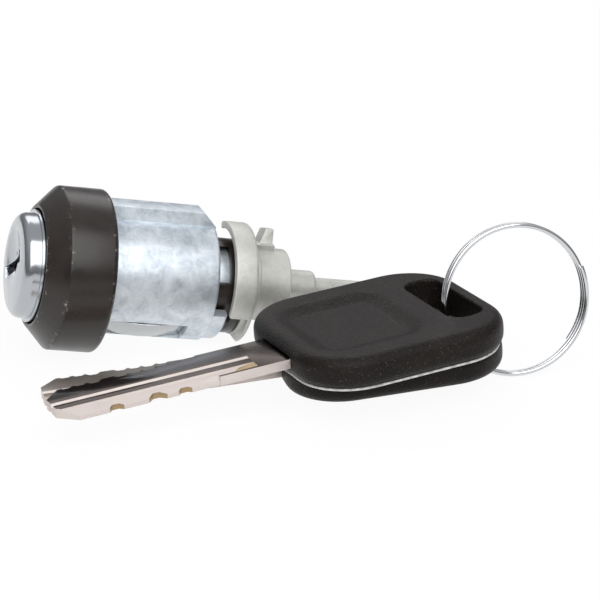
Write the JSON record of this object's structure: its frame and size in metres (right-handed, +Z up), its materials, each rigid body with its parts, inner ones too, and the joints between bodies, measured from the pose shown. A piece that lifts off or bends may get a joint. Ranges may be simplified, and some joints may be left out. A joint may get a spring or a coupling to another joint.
{
  "type": "ignition lock cylinder with keys",
  "caption": "Round ignition lock with a black bezel, chromed key face and die-cast barrel, and its black-headed keys lying in front of it on a split ring.",
  "frame": {"origin": "on the lock axis, in the plane of the bezel's back face, where the lock seats in a panel", "axes": "+X along the lock from key face to tail, level; +Y away from the keys; +Z up. The lock axis dips 10.4 degrees below +X, as the lock lies on its bezel and on the flat under its drum"},
  "size_m": [0.1106, 0.0748, 0.034],
  "materials": {
    "black_moulding": "satin moulding",
    "zinc_casting": "bare zinc die casting",
    "tail_casting": "bare zinc die casting, warm grey",
    "chromed_face": "polished chrome",
    "spring_steel": "bright spring steel",
    "wafer_brass": "stamped",
    "key_moulding": "fine textured moulding",
    "nickel_plated_brass": "nickel plated, brass in the cuts",
    "polished_steel": "polished wire"
  },
  "bodies": {
    "housing": {"barrel": "zinc_casting", "bezel": "black_moulding", "retaining_leaf": "spring_steel", "neck_sleeve": "black_moulding", "upper_key_head": "key_moulding", "upper_key_blade": "nickel_plated_brass", "lower_key_head": "key_moulding", "lower_key_blade": "nickel_plated_brass", "split_ring": "polished_steel"},
    "rotor": {"plug": "zinc_casting", "face_cap": "chromed_face", "tail": "tail_casting", "stop_pin": "spring_steel", "retaining_clip": "spring_steel", "drive_pin": "spring_steel", "shutter_pin": "spring_steel", "shutter_spring": "spring_steel", "wafer_1": "wafer_brass", "wafer_2": "wafer_brass", "wafer_3": "wafer_brass", "wafer_4": "wafer_brass", "wafer_5": "wafer_brass", "wafer_6": "wafer_brass", "wafer_7": "wafer_brass", "wafer_spring_1": "spring_steel", "wafer_spring_2": "spring_steel", "wafer_spring_3": "spring_steel", "wafer_spring_4": "spring_steel", "wafer_spring_5": "spring_steel", "wafer_spring_6": "spring_steel", "wafer_spring_7": "spring_steel"},
    "flap": {"shutter": "spring_steel"}
  },
  "joints": [
    {"name": "plug_turn", "type": "hinge", "parent": "housing", "child": "rotor", "pos_m": [0, 0, 0], "axis": [0.9836, 0, -0.1805], "range_deg": [0, 110]},
    {"name": "shutter_swing", "type": "hinge", "parent": "rotor", "child": "flap", "pos_m": [-0.01432, -0.00125, 0.00081], "axis": [-0.1035, 0.8192, -0.5642], "range_deg": [0, 70], "stiffness_Nm_per_rad": 0.0002, "springref_deg": -28.65, "deforming": ["shutter_spring"]}
  ]
}
